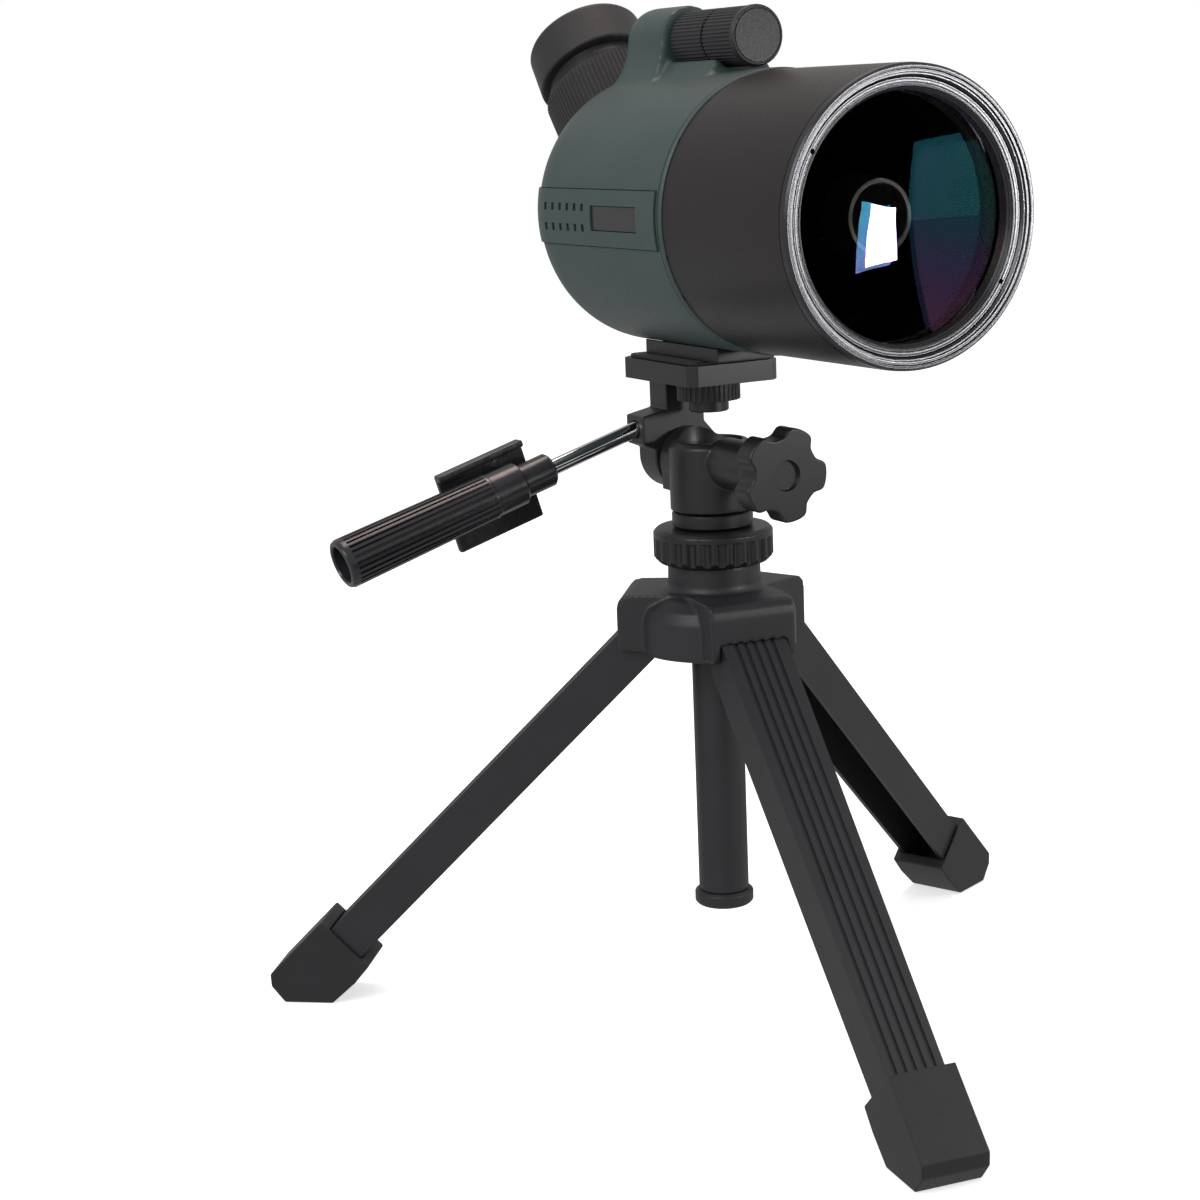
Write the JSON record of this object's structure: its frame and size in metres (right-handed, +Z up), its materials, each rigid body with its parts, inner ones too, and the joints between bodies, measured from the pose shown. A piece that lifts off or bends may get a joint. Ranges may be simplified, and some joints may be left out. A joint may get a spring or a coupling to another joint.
{
  "type": "spotting scope",
  "caption": "Angled zoom spotting scope of mirror-and-lens type on a folding table-top tripod with pan and tilt head.",
  "frame": {"origin": "middle of the bounding box at floor level", "axes": "+Z up; the barrel points along -Y; +X to the right of someone looking through the eyepiece"},
  "size_m": [0.322, 0.3002, 0.3805],
  "materials": {
    "green_armour": "fine satin moulded armour",
    "barrel_metal": "satin black anodised",
    "tripod_plastic": "satin moulded glass-filled plastic",
    "gloss_plastic": "glossy moulded",
    "rubber": "matt rubber",
    "steel": "turned",
    "chrome": "polished",
    "dark_metal": "dark anodised",
    "brass": "turned",
    "lens": "coated optical glass",
    "mirror": "aluminised"
  },
  "bodies": {
    "crown": {"crown": "tripod_plastic", "leg_pin_front": "steel", "leg_pin_right": "steel", "leg_pin_left": "steel", "column_collet": "gloss_plastic"},
    "leg_front": {"leg_channel_front": "tripod_plastic", "leg_foot_front": "rubber"},
    "leg_right": {"leg_channel_right": "tripod_plastic", "leg_foot_right": "rubber"},
    "leg_left": {"leg_channel_left": "tripod_plastic", "leg_foot_left": "rubber"},
    "lock_ring": {"column_lock_ring": "tripod_plastic"},
    "column": {"column_tube": "tripod_plastic", "column_end_cap": "tripod_plastic", "head_base": "dark_metal"},
    "head": {"head_body": "tripod_plastic", "tilt_bolt": "steel"},
    "star_knob": {"tilt_knob": "tripod_plastic"},
    "tilt": {"tilt_bracket": "tripod_plastic", "platform": "tripod_plastic", "platform_pad": "rubber", "mount_foot": "tripod_plastic", "body_shell": "green_armour", "side_panel_left": "green_armour", "side_panel_right": "green_armour", "nameplate_left": "gloss_plastic", "nameplate_right": "gloss_plastic", "barrel_tube": "barrel_metal", "front_bezel": "barrel_metal", "retaining_ring": "barrel_metal", "corrector_lens": "lens", "secondary_mirror": "mirror", "secondary_baffle": "barrel_metal", "primary_baffle": "barrel_metal", "prism": "lens", "prism_holder": "dark_metal", "eyepiece_tube": "tripod_plastic", "field_lens": "lens", "eye_lens": "lens", "focus_bush": "brass"},
    "screw_wheel": {"mount_screw_wheel": "tripod_plastic", "mount_screw": "steel"},
    "handle": {"handle_rod": "chrome", "handle_collar": "gloss_plastic", "handle_grip": "gloss_plastic"},
    "coarse_focus": {"coarse_focus_ring": "tripod_plastic", "focus_shaft": "steel"},
    "fine_focus": {"fine_focus_ring": "tripod_plastic", "fine_focus_cap": "tripod_plastic"},
    "mirror_carriage": {"primary_mirror": "mirror", "mirror_cell": "dark_metal", "focus_nut": "brass"},
    "zoom": {"zoom_ring": "rubber"},
    "zoom_carriage": {"zoom_lens_cell": "dark_metal", "zoom_lens": "lens"},
    "eyecup": {"eyecup": "rubber"}
  },
  "joints": [
    {"name": "fold_leg_front", "type": "hinge", "parent": "crown", "child": "leg_front", "pos_m": [-0.01363, 0.00562, 0.151], "axis": [0.9914, -0.1305, 0], "range_deg": [0, 45]},
    {"name": "fold_leg_right", "type": "hinge", "parent": "crown", "child": "leg_right", "pos_m": [0.01273, 0.03997, 0.151], "axis": [-0.3827, 0.9239, 0], "range_deg": [0, 45]},
    {"name": "fold_leg_left", "type": "hinge", "parent": "crown", "child": "leg_left", "pos_m": [-0.03021, 0.04563, 0.151], "axis": [-0.6088, -0.7934, 0], "range_deg": [0, 45]},
    {"name": "lock_ring_twist", "type": "hinge", "parent": "crown", "child": "lock_ring", "pos_m": [-0.01037, 0.03041, 0.181], "axis": [0, 0, 1], "range_deg": [0, 90]},
    {"name": "column_slide", "type": "slide", "parent": "crown", "child": "column", "axis": [0, 0, 1], "range_m": [0, 0.085]},
    {"name": "pan", "type": "hinge", "parent": "column", "child": "head", "pos_m": [-0.01037, 0.03041, 0.1944], "axis": [0, 0, 1], "continuous": true},
    {"name": "tilt", "type": "hinge", "parent": "head", "child": "tilt", "pos_m": [-0.01037, 0.03041, 0.213], "axis": [0, 1, 0], "range_deg": [-30, 90]},
    {"name": "star_knob_twist", "type": "hinge", "parent": "head", "child": "star_knob", "pos_m": [-0.01037, -0.01659, 0.213], "axis": [0, -1, 0], "range_deg": [0, 360]},
    {"name": "screw_wheel_twist", "type": "hinge", "parent": "tilt", "child": "screw_wheel", "pos_m": [-0.01037, 0.03041, 0.238], "axis": [0, 0, 1], "range_deg": [0, 720]},
    {"name": "handle_twist", "type": "hinge", "parent": "tilt", "child": "handle", "pos_m": [-0.02877, 0.05411, 0.2234], "axis": [-0.9583, 0, -0.2857], "range_deg": [0, 180]},
    {"name": "coarse_focus_turn", "type": "hinge", "parent": "tilt", "child": "coarse_focus", "pos_m": [-0.01037, 0.02241, 0.3641], "axis": [0, -1, 0], "range_deg": [-360, 360]},
    {"name": "fine_focus_turn", "type": "hinge", "parent": "tilt", "child": "fine_focus", "pos_m": [-0.01037, 0.00041, 0.3641], "axis": [0, -1, 0], "range_deg": [-360, 360]},
    {"name": "mirror_slide", "type": "slide", "parent": "tilt", "child": "mirror_carriage", "axis": [0, 1, 0], "range_m": [-0.004, 0.004]},
    {"name": "zoom_turn", "type": "hinge", "parent": "tilt", "child": "zoom", "pos_m": [-0.01037, 0.09526, 0.34107], "axis": [0, 0.6428, 0.766], "range_deg": [0, 110]},
    {"name": "zoom_slide", "type": "slide", "parent": "tilt", "child": "zoom_carriage", "axis": [0, 0.6428, 0.766], "range_m": [0, 0.01]},
    {"name": "eyecup_slide", "type": "slide", "parent": "tilt", "child": "eyecup", "axis": [0, 0.6428, 0.766], "range_m": [0, 0.008]}
  ],
  "couplings": [
    {"joint": "coarse_focus_turn", "follows": "mirror_slide", "rad_per_m": 1570},
    {"joint": "zoom_slide", "follows": "zoom_turn", "m_per_rad": 0.0052}
  ]
}
